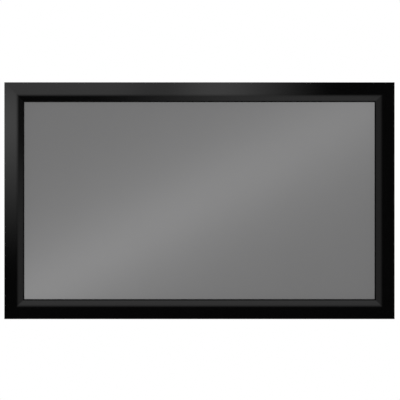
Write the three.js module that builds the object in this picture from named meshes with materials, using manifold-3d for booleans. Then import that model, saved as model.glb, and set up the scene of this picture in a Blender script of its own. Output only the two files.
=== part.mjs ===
// Fixed frame projector screen, 16:9, about 80 inches across the viewing area's diagonal.
// Millimetres. X to the right seen from the front, Y back towards the wall, Z up.
// The origin is the middle of the whole object's box.
import * as THREE from "three";
import { mergeVertices } from "three/addons/utils/BufferGeometryUtils.js";
import Module from "manifold-3d";

const wasm = await Module();
wasm.setup();

// Viewing area
const VIEW_W = 1771;
const VIEW_H = 996;

// Rail section, measured inwards from the outer edge (u) and back from the front face (v)
const BOX_W = 58;
const WING_W = 42;
const FRAME_DEPTH = 38;
const WALL = 1.6;
const FLAT_PAST_BOX = 2;
const EDGE_R = 1.6;
const TURN_R = 32;
const BEVEL_DEPTH = 18;
const NOSE_R = 0.9;
const LAND_W = 5;
const CHANNEL_DEPTH = 8.8;
const REAR_LIP_W = 12;
const RIB_OUT = 8;
const GROOVE_DEPTH = 6.8;
const GROOVE_MOUTH = 3.9;

// Clearances
const MITRE_GAP = 0.15;
const SEAT = 0.2;
const RUN_CLEAR = 0.3;

// Fabric and its tension rods
const FABRIC_T = 0.5;
const ROD_R = 2.5;
const ROD_PROUD = 4;
const WELD_START = 9.5;
const WELD_W = 9;
const SLEEVE_STOP = 15.5;

// Tension clips
const CLIP_LENGTH = 38;
const CLIP_WALL = 2;
const CLIP_REACH = 5;
const CLIP_TAIL = 5;
const CLIP_WRAP_DEG = 62;
const CLIP_WEBS = 3;
const CLIP_WEB_W = 1.6;
const CLIP_WEB_SHY = 1.5;
const CLIPS_WIDE = 8;
const CLIPS_HIGH = 5;

// Corner elbows and their set screws
const ELBOW_LEG = 130;
const ELBOW_T = 4;
const ELBOW_ROUND = 6;
const SET_SCREW_R = 3;
const SET_SCREW_FROM_END = 32;
const SET_SCREW_PROUD = 1.2;
const HEX_ACROSS = 3;
const HEX_DEPTH = 3.5;
const CHAMFER = 0.6;

// Centre brace
const BRACE_W = 40;
const BRACE_WALL = 1.2;
const BRACE_R = 2.5;
const BRACE_INSET = 0.5;
const COLLAR_T = 4;
const PLUG_LENGTH = 26;
const TONGUE_W = 34;
const BRACE_SCREW_R = 1.5;
const BRACE_SCREW_HEAD_R = 3.2;
const BRACE_SCREW_HEAD_T = 1.4;
const BRACE_SCREW_IN = 12;
const BRACE_SCREW_BITE = 4;

// Hanging brackets
const BRACKET_W = 120;
const BRACKET_T = 2.5;
const BRACKET_BEND_R = 1;
const BRACKET_CORNER_R = 5;
const BRACKET_FROM_END = 300;
const BRACKET_SHY = 3;
const HOOK_W = 70;
const HOOK_HEADROOM = 2.4;
const HOOK_PLAY = 0.8;
const SLOT_R = 3.25;
const SLOT_LENGTH = 20;
const SLOT_PITCH = 76;
const WALL_GAP = 3;

// Wall pads
const PAD_W = 9;
const PAD_LENGTH = 40;
const PAD_FROM_END = 160;
const PAD_EDGE = 0.6;

// Sizes that follow from those above
const FACE_W = BOX_W + WING_W;
const OUT_W = VIEW_W + 2 * FACE_W;
const OUT_H = VIEW_H + 2 * FACE_W;
const DEPTH = FRAME_DEPTH + WALL_GAP;
const CHANNEL_REAR = FRAME_DEPTH - WALL;
const CHANNEL_FRONT = CHANNEL_REAR - CHANNEL_DEPTH;
const CHAMBER_REAR = CHANNEL_FRONT - WALL;
const GROOVE_REAR = FRAME_DEPTH - WALL;
const GROOVE_FRONT = GROOVE_REAR - GROOVE_DEPTH;
const RIB_TIP = BOX_W + RIB_OUT;
const LAND_V = BEVEL_DEPTH + NOSE_R;
const FABRIC_V = LAND_V + SEAT;
const SLEEVE_IN = ROD_R + SEAT;
const SLEEVE_OUT = SLEEVE_IN + FABRIC_T;
const JAW_IN = SLEEVE_OUT + RUN_CLEAR;
const JAW_OUT = JAW_IN + CLIP_WALL;
const ROD_U = RIB_TIP + CLIP_REACH + JAW_OUT;
const ROD_V = FABRIC_V + SLEEVE_OUT;
const SLEEVE_END = ROD_U + SLEEVE_STOP;
const BRACE_FRONT = ROD_V + SLEEVE_OUT + RUN_CLEAR;
const BRACE_REAR = FRAME_DEPTH - BRACE_INSET;

const group = new THREE.Group();

const coated = new THREE.MeshStandardMaterial({ color: 0x0e0e0f, roughness: 0.32, metalness: 0.1 });
const greyFabric = new THREE.MeshStandardMaterial({ color: 0x7a7b7c, roughness: 0.7, metalness: 0 });
const zincSteel = new THREE.MeshStandardMaterial({ color: 0xa9adb1, roughness: 0.4, metalness: 0.9 });
const blackSteel = new THREE.MeshStandardMaterial({ color: 0x1d1e20, roughness: 0.5, metalness: 0.6 });
const blackOxide = new THREE.MeshStandardMaterial({ color: 0x17181a, roughness: 0.45, metalness: 0.8 });
const clipPlastic = new THREE.MeshStandardMaterial({ color: 0x151617, roughness: 0.55, metalness: 0 });
const fibreglass = new THREE.MeshStandardMaterial({ color: 0xd8d6cc, roughness: 0.5, metalness: 0 });
const rubber = new THREE.MeshStandardMaterial({ color: 0x1a1a1a, roughness: 0.9, metalness: 0 });

// Places are rounded to this step, so that faces meant to be flush lie in one plane.
const WELD_STEP = 1e-4;

// A closed geometry with shared corners, as a solid for joins and cuts.
function solid(geometry) {
  const bare = geometry.clone();
  bare.deleteAttribute("normal");
  bare.deleteAttribute("uv");
  const merged = mergeVertices(bare, WELD_STEP);
  const corners = merged.index.array;
  const kept = [];
  for (let i = 0; i < corners.length; i += 3) {
    const [a, b, c] = [corners[i], corners[i + 1], corners[i + 2]];
    if (a !== b && b !== c && c !== a) kept.push(a, b, c);
  }
  return new wasm.Manifold(new wasm.Mesh({
    numProp: 3,
    vertProperties: new Float32Array(merged.attributes.position.array),
    triVerts: new Uint32Array(kept),
  }));
}

// The solid back as a geometry.
function geometryOf(body) {
  const mesh = body.getMesh();
  const geometry = new THREE.BufferGeometry();
  geometry.setAttribute("position", new THREE.BufferAttribute(new Float32Array(mesh.vertProperties), 3));
  geometry.setIndex(new THREE.BufferAttribute(new Uint32Array(mesh.triVerts), 1));
  return geometry.toNonIndexed();
}

// A point on an arc; the angle runs from +u towards +v.
function polar(cu, cv, radius, degrees) {
  const angle = THREE.MathUtils.degToRad(degrees);
  return new THREE.Vector2(cu + radius * Math.cos(angle), cv + radius * Math.sin(angle));
}

// Points along an arc, both ends included.
function arc(cu, cv, radius, from, to, steps) {
  return Array.from({ length: steps + 1 }, (_, i) => polar(cu, cv, radius, from + ((to - from) * i) / steps));
}

function point(u, v) {
  return new THREE.Vector2(u, v);
}

// A rectangle with rounded corners, as points in order.
function roundedRect(u0, u1, v0, v1, radius, steps = 4) {
  return [
    ...arc(u1 - radius, v1 - radius, radius, 0, 90, steps),
    ...arc(u0 + radius, v1 - radius, radius, 90, 180, steps),
    ...arc(u0 + radius, v0 + radius, radius, 180, 270, steps),
    ...arc(u1 - radius, v0 + radius, radius, 270, 360, steps),
  ];
}

// An outline pushed from z = 0 to z = length, with any holes.
function prism(outline, length, holes = [], bevel = 0) {
  const shape = new THREE.Shape(THREE.ShapeUtils.isClockWise(outline) ? [...outline].reverse() : outline);
  for (const hole of holes) shape.holes.push(new THREE.Path(hole));
  return new THREE.ExtrudeGeometry(shape, {
    depth: length - 2 * bevel,
    steps: 1,
    bevelEnabled: bevel > 0,
    bevelThickness: bevel,
    bevelSize: bevel,
    bevelOffset: -bevel,
    bevelSegments: 1,
    curveSegments: 8,
  }).translate(0, 0, bevel);
}

// A copy with each point moved by a rule from (x, y, z) to a new place.
function mapped(geometry, rule) {
  const out = geometry.clone();
  const position = out.attributes.position;
  for (let i = 0; i < position.count; i++) {
    const place = rule(position.getX(i), position.getY(i), position.getZ(i));
    position.setXYZ(i, ...place.map((value) => Math.round(value / WELD_STEP) * WELD_STEP));
  }
  return out;
}

// A turned solid from (radius, height) pairs, about its own z axis.
function turned(profile, sides) {
  const points = profile.map(([r, h]) => new THREE.Vector2(r, h));
  return new THREE.LatheGeometry(points, sides).rotateX(Math.PI / 2);
}

// The four sides of the frame. "Along" runs clockwise seen from the front; u runs inwards.
// An even number of clips at top and bottom leaves the middle free for the brace.
// toWorld takes (along, u, v) to the object's own frame.
const SIDES = {
  top: {
    half: OUT_W / 2,
    clips: CLIPS_WIDE,
    toWorld: (a, u, v) => [a, v - DEPTH / 2, OUT_H / 2 - u],
  },
  right: {
    half: OUT_H / 2,
    clips: CLIPS_HIGH,
    toWorld: (a, u, v) => [OUT_W / 2 - u, v - DEPTH / 2, -a],
  },
  bottom: {
    half: OUT_W / 2,
    clips: CLIPS_WIDE,
    toWorld: (a, u, v) => [-a, v - DEPTH / 2, -OUT_H / 2 + u],
  },
  left: {
    half: OUT_H / 2,
    clips: CLIPS_HIGH,
    toWorld: (a, u, v) => [-OUT_W / 2 + u, v - DEPTH / 2, a],
  },
};

// A block whose outline is in (x, z), from one y to another.
function standing(outline, fromY, toY) {
  return mapped(prism(outline, toY - fromY), (x, z, run) => [x, toY - run, z]);
}

// Moves a geometry whose x is u, y is v and z is the run along a side into that side's place.
function place(geometry, side, shift = 0) {
  return mapped(geometry, (u, v, along) => SIDES[side].toWorld(along + shift, u, v));
}

function add(name, geometry, material) {
  const bare = geometry.clone();
  bare.computeVertexNormals();
  const mesh = new THREE.Mesh(bare, material.clone());
  mesh.name = name;
  group.add(mesh);
}

// Rails. The front is flat, turns over on a large radius and slopes back to a round-nosed lip.
// Behind the flat lies a closed chamber, behind that the channel for elbows and brackets.
// Two ribs on the inner wall make the groove that the clips and the brace hook into.

// The angle at which the slope is tangent to both the large radius and the nose.
function bevelSlope() {
  const run = WING_W - FLAT_PAST_BOX - NOSE_R;
  const rise = TURN_R - BEVEL_DEPTH;
  return Math.asin((TURN_R - NOSE_R) / Math.hypot(run, rise)) - Math.atan2(rise, run);
}

function railOutline() {
  const angle = bevelSlope();
  const slope = THREE.MathUtils.radToDeg(angle);
  const flatEnd = BOX_W + FLAT_PAST_BOX;
  const noseU = FACE_W - NOSE_R;
  const backU = noseU - LAND_W;
  const noseStart = polar(noseU, BEVEL_DEPTH, NOSE_R, -90 + slope);
  const slopeAtBack = noseStart.y - (noseStart.x - backU) * Math.tan(angle);
  const landFront = slopeAtBack + WALL / Math.cos(angle);
  const wingBackTurn = arc(flatEnd, TURN_R, TURN_R - WALL, -90 + slope, -90, 5);
  return [
    ...arc(EDGE_R, EDGE_R, EDGE_R, 180, 270, 4),
    ...arc(flatEnd, TURN_R, TURN_R, -90, -90 + slope, 6),
    ...arc(noseU, BEVEL_DEPTH, NOSE_R, -90 + slope, 90, 5),
    point(backU, LAND_V),
    point(backU, landFront),
    ...wingBackTurn,
    point(BOX_W, WALL),
    point(BOX_W, GROOVE_FRONT - WALL),
    point(RIB_TIP, GROOVE_FRONT - WALL),
    point(RIB_TIP, GROOVE_FRONT),
    point(BOX_W, GROOVE_FRONT),
    point(BOX_W, GROOVE_REAR),
    point(RIB_TIP - WALL, GROOVE_REAR),
    point(RIB_TIP - WALL, GROOVE_FRONT + GROOVE_MOUTH),
    point(RIB_TIP, GROOVE_FRONT + GROOVE_MOUTH),
    point(RIB_TIP, FRAME_DEPTH),
    point(BOX_W - REAR_LIP_W, FRAME_DEPTH),
    point(BOX_W - REAR_LIP_W, CHANNEL_REAR),
    point(BOX_W - WALL, CHANNEL_REAR),
    point(BOX_W - WALL, CHANNEL_FRONT),
    point(WALL, CHANNEL_FRONT),
    point(WALL, CHANNEL_REAR),
    point(REAR_LIP_W, CHANNEL_REAR),
    point(REAR_LIP_W, FRAME_DEPTH),
    point(0, FRAME_DEPTH),
  ];
}

// Each end is cut at 45 degrees: a point stops short of the corner by its distance in from the edge.
function railGeometry(side) {
  const chamber = roundedRect(WALL, BOX_W - WALL, WALL, CHAMBER_REAR, WALL / 2, 2);
  const reach = SIDES[side].half - MITRE_GAP;
  return mapped(prism(railOutline(), 1, [chamber]), (u, v, end) => {
    const along = (end > 0.5 ? 1 : -1) * (reach - u);
    return SIDES[side].toWorld(along, u, v);
  });
}

for (const side of Object.keys(SIDES)) add(`rail_${side}`, railGeometry(side), coated);

// Fabric. A flat sheet with notched corners; each edge is folded round its rod and welded back on itself.

// The angle at which the fold leaves the rod for the weld, as a tangent.
function sleeveTangent(radius, backV) {
  const forward = ROD_V - backV;
  const reach = Math.hypot(WELD_START, forward);
  const toWeld = THREE.MathUtils.radToDeg(Math.atan2(-forward, WELD_START));
  return toWeld + THREE.MathUtils.radToDeg(Math.acos(radius / reach));
}

function sleeveGeometry(length) {
  const backV = FABRIC_V + FABRIC_T;
  const weldU = ROD_U + WELD_START;
  const outline = [
    ...arc(ROD_U, ROD_V, SLEEVE_OUT, 270, sleeveTangent(SLEEVE_OUT, backV + FABRIC_T), 14),
    point(weldU, backV + FABRIC_T),
    point(weldU + WELD_W, backV + FABRIC_T),
    point(weldU + WELD_W, FABRIC_V),
  ];
  const hollow = [
    ...arc(ROD_U, ROD_V, SLEEVE_IN, 270, sleeveTangent(SLEEVE_IN, backV), 12),
    point(weldU, backV),
  ];
  return prism(outline, length, [hollow]);
}

function fabricGeometry() {
  const halfW = OUT_W / 2 - ROD_U;
  const halfH = OUT_H / 2 - ROD_U;
  const notchW = OUT_W / 2 - SLEEVE_END;
  const notchH = OUT_H / 2 - SLEEVE_END;
  const cross = [
    point(-notchW, -halfH), point(notchW, -halfH), point(notchW, -notchH), point(halfW, -notchH),
    point(halfW, notchH), point(notchW, notchH), point(notchW, halfH), point(-notchW, halfH),
    point(-notchW, notchH), point(-halfW, notchH), point(-halfW, -notchH), point(-notchW, -notchH),
  ];
  const front = FABRIC_V - DEPTH / 2;
  let sheet = solid(standing(cross, front, front + FABRIC_T));
  for (const side of Object.keys(SIDES)) {
    const length = 2 * (SIDES[side].half - SLEEVE_END);
    sheet = sheet.add(solid(place(sleeveGeometry(length), side, -length / 2)));
  }
  return geometryOf(sheet);
}

add("projection_fabric", fabricGeometry(), greyFabric);

function rodGeometry(side) {
  const length = 2 * (SIDES[side].half - SLEEVE_END + ROD_PROUD);
  const profile = [
    [0, 0], [ROD_R - CHAMFER, 0], [ROD_R, CHAMFER],
    [ROD_R, length - CHAMFER], [ROD_R - CHAMFER, length], [0, length],
  ];
  return place(turned(profile, 16).translate(ROD_U, ROD_V, 0), side, -length / 2);
}

for (const side of Object.keys(SIDES)) add(`tension_rod_${side}`, rodGeometry(side), fibreglass);

// Tension clips. The heel sits behind the groove's return lip and the jaw holds the sleeve and rod,
// with its mouth towards the front, where the fabric leaves. Webs stiffen the corner between arm and jaw,
// and stop short of the rail's rib.
function clipGeometry() {
  const tangent = sleeveTangent(SLEEVE_OUT, FABRIC_V + 2 * FABRIC_T);
  const tail = tangent - 90;
  const lastIn = polar(ROD_U, ROD_V, JAW_IN, tangent);
  const lastOut = polar(ROD_U, ROD_V, JAW_OUT, tangent);
  const step = polar(0, 0, CLIP_TAIL, tail);
  const tipR = CLIP_WALL / 2;
  const tip = lastIn.clone().add(lastOut).multiplyScalar(0.5).add(step);
  const brow = polar(ROD_U, ROD_V, JAW_IN + tipR, 180 + CLIP_WRAP_DEG);
  const jaw = [
    ...arc(ROD_U, ROD_V, JAW_OUT, tangent, 180 + CLIP_WRAP_DEG, 9),
    ...arc(brow.x, brow.y, tipR, 180 + CLIP_WRAP_DEG, 360 + CLIP_WRAP_DEG, 4).slice(1, -1),
    ...arc(ROD_U, ROD_V, JAW_IN, 180 + CLIP_WRAP_DEG, tangent, 8),
    ...arc(tip.x, tip.y, tipR, tangent - 180, tangent, 4),
  ];
  const armFront = GROOVE_FRONT + RUN_CLEAR;
  const armRear = GROOVE_FRONT + GROOVE_MOUTH - RUN_CLEAR;
  const heelRear = GROOVE_REAR - RUN_CLEAR;
  const heelIn = BOX_W + RUN_CLEAR;
  const heelOut = RIB_TIP - WALL - RUN_CLEAR;
  const jawWall = ROD_U - (JAW_IN + JAW_OUT) / 2;
  const arm = [
    point(heelIn, armFront), point(jawWall, armFront), point(jawWall, armRear),
    point(heelOut, armRear), point(heelOut, heelRear), point(heelIn + CHAMFER, heelRear),
    point(heelIn, heelRear - CHAMFER),
  ];
  const saddleFront = ROD_V + JAW_IN + CLIP_WALL / 4;
  const saddleRear = Math.max(armRear, ROD_V + JAW_OUT);
  const saddle = roundedRect(ROD_U - JAW_OUT, ROD_U + JAW_IN, saddleFront, saddleRear, CLIP_WALL / 4, 2);
  let body = solid(prism(jaw, CLIP_LENGTH))
    .add(solid(prism(arm, CLIP_LENGTH)))
    .add(solid(prism(saddle, CLIP_LENGTH)));
  const webSize = CLIP_REACH - CLIP_WEB_SHY;
  const jawOutside = ROD_U - JAW_OUT;
  const armMiddle = (armFront + armRear) / 2;
  const web = [
    point(jawOutside - webSize, armFront), point(jawOutside, armFront - webSize),
    point(jawWall, armFront - webSize), point(jawWall, armMiddle), point(jawOutside - webSize, armMiddle),
  ];
  for (let i = 0; i < CLIP_WEBS; i++) {
    const middle = ((i + 0.5) * CLIP_LENGTH) / CLIP_WEBS;
    body = body.add(solid(prism(web, CLIP_WEB_W).translate(0, 0, middle - CLIP_WEB_W / 2)));
  }
  return geometryOf(body);
}

const clip = clipGeometry();
const twoDigits = (number) => String(number).padStart(2, "0");
for (const [side, { half, clips }] of Object.entries(SIDES)) {
  const run = 2 * (half - SLEEVE_END);
  for (let i = 0; i < clips; i++) {
    const middle = -run / 2 + ((i + 0.5) * run) / clips;
    const seat = place(clip, side, middle - CLIP_LENGTH / 2);
    add(`tension_clip_${side}_${twoDigits(i + 1)}`, seat, clipPlastic);
  }
}

// Corner elbows: L plates that bear on the channel's rear lips, jacked there by a set screw in each leg.
const CORNERS = {
  top_left: { across: -1, up: 1 },
  top_right: { across: 1, up: 1 },
  bottom_right: { across: 1, up: -1 },
  bottom_left: { across: -1, up: -1 },
};
const ELBOW_NEAR = WALL + RUN_CLEAR;
const ELBOW_FAR = BOX_W - WALL - RUN_CLEAR;
const ELBOW_REAR = CHANNEL_REAR - SEAT;
const SCREW_U = BOX_W / 2;
const SCREW_ALONG = ELBOW_NEAR + ELBOW_LEG - SET_SCREW_FROM_END;

function elbowOutline() {
  const end = ELBOW_NEAR + ELBOW_LEG;
  const round = ELBOW_ROUND;
  return [
    ...arc(ELBOW_NEAR + round, ELBOW_NEAR + round, round, 180, 270, 3),
    ...arc(end - round, ELBOW_NEAR + round, round, 270, 360, 3),
    ...arc(end - round, ELBOW_FAR - round, round, 0, 90, 3),
    point(ELBOW_FAR, ELBOW_FAR),
    ...arc(ELBOW_FAR - round, end - round, round, 0, 90, 3),
    ...arc(ELBOW_NEAR + round, end - round, round, 90, 180, 3),
  ];
}

// Puts a geometry at a corner. Its x and y are distances in from the corner's two outer edges and its z is v.
// The pieces are alike in both legs, so the two corners that would be mirrored swap the legs instead.
function placeAtCorner(geometry, corner) {
  const { across, up } = CORNERS[corner];
  return mapped(geometry, (a, b, v) => {
    const [inX, inZ] = across * up < 0 ? [a, b] : [b, a];
    return [across * (OUT_W / 2 - inX), v - DEPTH / 2, up * (OUT_H / 2 - inZ)];
  });
}

function circle(cu, cv, radius, sides) {
  return arc(cu, cv, radius, 0, 360, sides).slice(0, -1);
}

function elbowGeometry() {
  const holes = [
    circle(SCREW_ALONG, SCREW_U, SET_SCREW_R + SEAT, 20),
    circle(SCREW_U, SCREW_ALONG, SET_SCREW_R + SEAT, 20),
  ];
  return prism(elbowOutline(), ELBOW_T, holes).translate(0, 0, ELBOW_REAR - ELBOW_T);
}

function setScrewGeometry() {
  const tip = CHANNEL_FRONT + SEAT;
  const head = ELBOW_REAR + SET_SCREW_PROUD;
  const length = head - tip;
  const body = solid(turned([
    [0, 0], [SET_SCREW_R - 2 * CHAMFER, 0], [SET_SCREW_R, 2 * CHAMFER],
    [SET_SCREW_R, length - CHAMFER], [SET_SCREW_R - CHAMFER, length], [0, length],
  ], 20));
  const hexagon = circle(0, 0, HEX_ACROSS / Math.sqrt(3), 6);
  const socket = solid(prism(hexagon, 2 * HEX_DEPTH).translate(0, 0, length - HEX_DEPTH));
  return geometryOf(body.subtract(socket)).translate(0, 0, tip);
}

const elbow = elbowGeometry();
const setScrew = setScrewGeometry();
for (const [corner, { across, up }] of Object.entries(CORNERS)) {
  add(`corner_elbow_${corner}`, placeAtCorner(elbow, corner), zincSteel);
  const first = placeAtCorner(setScrew.clone().translate(SCREW_ALONG, SCREW_U, 0), corner);
  const second = placeAtCorner(setScrew.clone().translate(SCREW_U, SCREW_ALONG, 0), corner);
  const [level, upright] = across * up < 0 ? [first, second] : [second, first];
  add(`set_screw_${corner}_level`, level, blackOxide);
  add(`set_screw_${corner}_upright`, upright, blackOxide);
}

// Centre brace: a flat tube between the rails, with a moulded fitting in each end.
const COLLAR_U = RIB_TIP + RUN_CLEAR;
const TUBE_U = COLLAR_U + COLLAR_T + SEAT;
const BRACE_SHANK = BRACE_WALL + SEAT + BRACE_SCREW_BITE;
const BRACE_MID_V = (BRACE_FRONT + BRACE_REAR) / 2;
const BRACE_HALF_V = (BRACE_REAR - BRACE_FRONT) / 2;

function flatOval(halfWidth, halfDepth, radius) {
  return roundedRect(-halfWidth, halfWidth, BRACE_MID_V - halfDepth, BRACE_MID_V + halfDepth, radius, 3);
}

// A geometry pushed along z from an outline in (along, v), turned to run inwards (u) from a side.
function inwards(geometry, side, fromU) {
  return mapped(geometry, (across, v, run) => SIDES[side].toWorld(-across, fromU + run, v));
}

function braceScrewHole(side) {
  const radius = BRACE_SCREW_R + SEAT;
  const bore = new THREE.CylinderGeometry(radius, radius, 2 * (BRACE_SHANK + SEAT), 12);
  const [, , z] = SIDES[side].toWorld(0, TUBE_U + BRACE_SCREW_IN, 0);
  return solid(bore.translate(0, BRACE_REAR - DEPTH / 2, z));
}

function braceBarGeometry() {
  const length = OUT_H - 2 * TUBE_U;
  const outer = flatOval(BRACE_W / 2, BRACE_HALF_V, BRACE_R);
  const inner = flatOval(BRACE_W / 2 - BRACE_WALL, BRACE_HALF_V - BRACE_WALL, BRACE_R - BRACE_WALL);
  let tube = solid(inwards(prism(outer, length, [inner]), "top", TUBE_U));
  for (const side of ["top", "bottom"]) tube = tube.subtract(braceScrewHole(side));
  return geometryOf(tube);
}

function braceEndGeometry(side) {
  const collar = inwards(prism(flatOval(BRACE_W / 2, BRACE_HALF_V, BRACE_R), COLLAR_T), side, COLLAR_U);
  const collarMid = COLLAR_U + COLLAR_T / 2;
  const plugInset = BRACE_WALL + SEAT;
  const plugOutline = flatOval(BRACE_W / 2 - plugInset, BRACE_HALF_V - plugInset, BRACE_WALL);
  const plug = inwards(prism(plugOutline, COLLAR_T / 2 + PLUG_LENGTH), side, collarMid);
  const armFront = GROOVE_FRONT + RUN_CLEAR;
  const armRear = GROOVE_FRONT + GROOVE_MOUTH - RUN_CLEAR;
  const hook = [
    point(BOX_W + RUN_CLEAR, armFront), point(collarMid, armFront),
    point(collarMid, armRear), point(RIB_TIP - WALL - RUN_CLEAR, armRear),
    point(RIB_TIP - WALL - RUN_CLEAR, GROOVE_REAR - RUN_CLEAR),
    point(BOX_W + RUN_CLEAR, GROOVE_REAR - RUN_CLEAR),
  ];
  const tongue = place(prism(hook, TONGUE_W), side, -TONGUE_W / 2);
  const body = solid(collar).add(solid(plug)).add(solid(tongue));
  return geometryOf(body.subtract(braceScrewHole(side)));
}

function braceScrewGeometry(side) {
  const headBase = BRACE_SHANK + SEAT;
  const top = headBase + BRACE_SCREW_HEAD_T;
  const profile = [
    [0, 0], [BRACE_SCREW_R, CHAMFER], [BRACE_SCREW_R, headBase], [BRACE_SCREW_HEAD_R, headBase],
    [BRACE_SCREW_HEAD_R, headBase + CHAMFER], [BRACE_SCREW_HEAD_R - CHAMFER, top], [0, top],
  ];
  const [, , z] = SIDES[side].toWorld(0, TUBE_U + BRACE_SCREW_IN, 0);
  return turned(profile, 14).rotateX(-Math.PI / 2).translate(0, BRACE_REAR - BRACE_SHANK - DEPTH / 2, z);
}

add("brace_bar", braceBarGeometry(), coated);
for (const side of ["top", "bottom"]) {
  add(`brace_end_${side}`, braceEndGeometry(side), clipPlastic);
  add(`brace_screw_${side}`, braceScrewGeometry(side), blackOxide);
}

// Hanging brackets: bent plate. The plate lies on the wall; its hook passes through the channel's mouth
// and turns up in front of the rail's upper rear lip, which rests on the bend.

// The outline of a strip of sheet bent at right angles along a centre line.
function stripOutline(corners, thickness, bendRadius) {
  const half = thickness / 2;
  const left = [];
  const right = [];
  corners.forEach((here, i) => {
    const before = i > 0 ? here.clone().sub(corners[i - 1]).normalize() : null;
    const after = i < corners.length - 1 ? corners[i + 1].clone().sub(here).normalize() : null;
    const heading = before ?? after;
    const normal = new THREE.Vector2(-heading.y, heading.x);
    if (!before || !after) {
      left.push(here.clone().addScaledVector(normal, half));
      right.push(here.clone().addScaledVector(normal, -half));
      return;
    }
    const turn = Math.sign(before.cross(after));
    const middleRadius = bendRadius + half;
    const start = here.clone().addScaledVector(before, -middleRadius);
    const centre = start.clone().addScaledVector(normal, turn * middleRadius);
    const from = THREE.MathUtils.radToDeg(Math.atan2(start.y - centre.y, start.x - centre.x));
    const inner = arc(centre.x, centre.y, bendRadius, from, from + turn * 90, 4);
    const outer = arc(centre.x, centre.y, bendRadius + thickness, from, from + turn * 90, 4);
    left.push(...(turn > 0 ? inner : outer));
    right.push(...(turn > 0 ? outer : inner));
  });
  return [...left, ...right.reverse()];
}

// A slot's outline, its long side along the first axis.
function stadium(cu, cv, length, radius, steps = 6) {
  const half = length / 2 - radius;
  return [
    ...arc(cu + half, cv, radius, -90, 90, steps),
    ...arc(cu - half, cv, radius, 90, 270, steps),
  ];
}

// The bracket's own frame: x across, y is v, z up from the lower edge of the lip that it carries.
function bracketGeometry() {
  const tabV = CHANNEL_REAR - HOOK_PLAY - BRACKET_T / 2;
  const plateV = DEPTH - BRACKET_T / 2;
  const flangeZ = -SEAT - BRACKET_T / 2;
  const tabTop = REAR_LIP_W - WALL - HOOK_HEADROOM;
  const plateFoot = -(BOX_W - REAR_LIP_W - BRACKET_SHY);
  const mouth = BOX_W - 2 * REAR_LIP_W;
  const path = [point(tabTop, tabV), point(flangeZ, tabV), point(flangeZ, plateV), point(plateFoot, plateV)];
  const strip = prism(stripOutline(path, BRACKET_T, BRACKET_BEND_R), BRACKET_W);
  const bent = solid(mapped(strip, (up, v, across) => [BRACKET_W / 2 - across, v, up]));
  const plateTop = flangeZ - BRACKET_T / 2 - BRACKET_BEND_R;
  const face = roundedRect(-BRACKET_W / 2, BRACKET_W / 2, plateFoot, plateTop, BRACKET_CORNER_R);
  const hook = roundedRect(-HOOK_W / 2, HOOK_W / 2, plateFoot / 2, tabTop, BRACKET_CORNER_R);
  const plateZone = solid(standing(face, DEPTH - BRACKET_T - WALL / 4, DEPTH + WALL));
  const hookZone = solid(standing(hook, CHANNEL_FRONT, DEPTH + WALL));
  let bracket = bent.intersect(plateZone.add(hookZone));
  for (const across of [-1, 1]) {
    const slot = stadium((across * SLOT_PITCH) / 2, -mouth / 2, SLOT_LENGTH, SLOT_R);
    bracket = bracket.subtract(solid(standing(slot, CHANNEL_REAR, DEPTH + WALL)));
  }
  return geometryOf(bracket);
}

const bracket = bracketGeometry();
const lipEdges = { top: OUT_H / 2 - REAR_LIP_W, bottom: -OUT_H / 2 + BOX_W - REAR_LIP_W };
const HANDS = { left: -1, right: 1 };
for (const [level, lipEdge] of Object.entries(lipEdges)) {
  for (const [hand, across] of Object.entries(HANDS)) {
    const x = across * (OUT_W / 2 - BRACKET_FROM_END);
    add(`wall_bracket_${level}_${hand}`, bracket.clone().translate(x, -DEPTH / 2, lipEdge), blackSteel);
  }
}

// Wall pads on the side rails' outer rear lips, as deep as the brackets' gap to the wall.
for (const [level, up] of Object.entries({ top: 1, bottom: -1 })) {
  for (const [hand, across] of Object.entries(HANDS)) {
    const outline = stadium(0, 0, PAD_LENGTH, PAD_W / 2, 5);
    const pad = prism(outline, WALL_GAP - SEAT, [], PAD_EDGE).rotateZ(Math.PI / 2).rotateX(Math.PI / 2);
    const x = across * (OUT_W / 2 - REAR_LIP_W / 2);
    const z = up * (OUT_H / 2 - PAD_FROM_END);
    add(`wall_pad_${level}_${hand}`, pad.translate(x, DEPTH / 2, z), rubber);
  }
}

export default group;
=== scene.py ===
# %% [markdown]
# # A fixed frame projector screen
#
# The object is a picture-flat sheet of grey vinyl, pulled tight inside a satin-black frame of four
# mitred aluminium rails. Behind it are the parts that do the work: rods in sleeves along the fabric's
# edges, moulded clips that pull the rods to the rails, steel elbows that hold the corners shut,
# a centre brace, and hooked plates that hang the frame on a wall.
#
# This lesson dresses the imported construction model. Most shapes are worked out with numpy, as a section
# carried along a line, because that is how most of these parts are really made. A few plain ones keep the
# construction model's shape with rounded edges.

# %% Load the frame
import math

import bmesh
import bpy
import numpy as np
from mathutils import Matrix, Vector
from mathutils.geometry import tessellate_polygon


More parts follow.
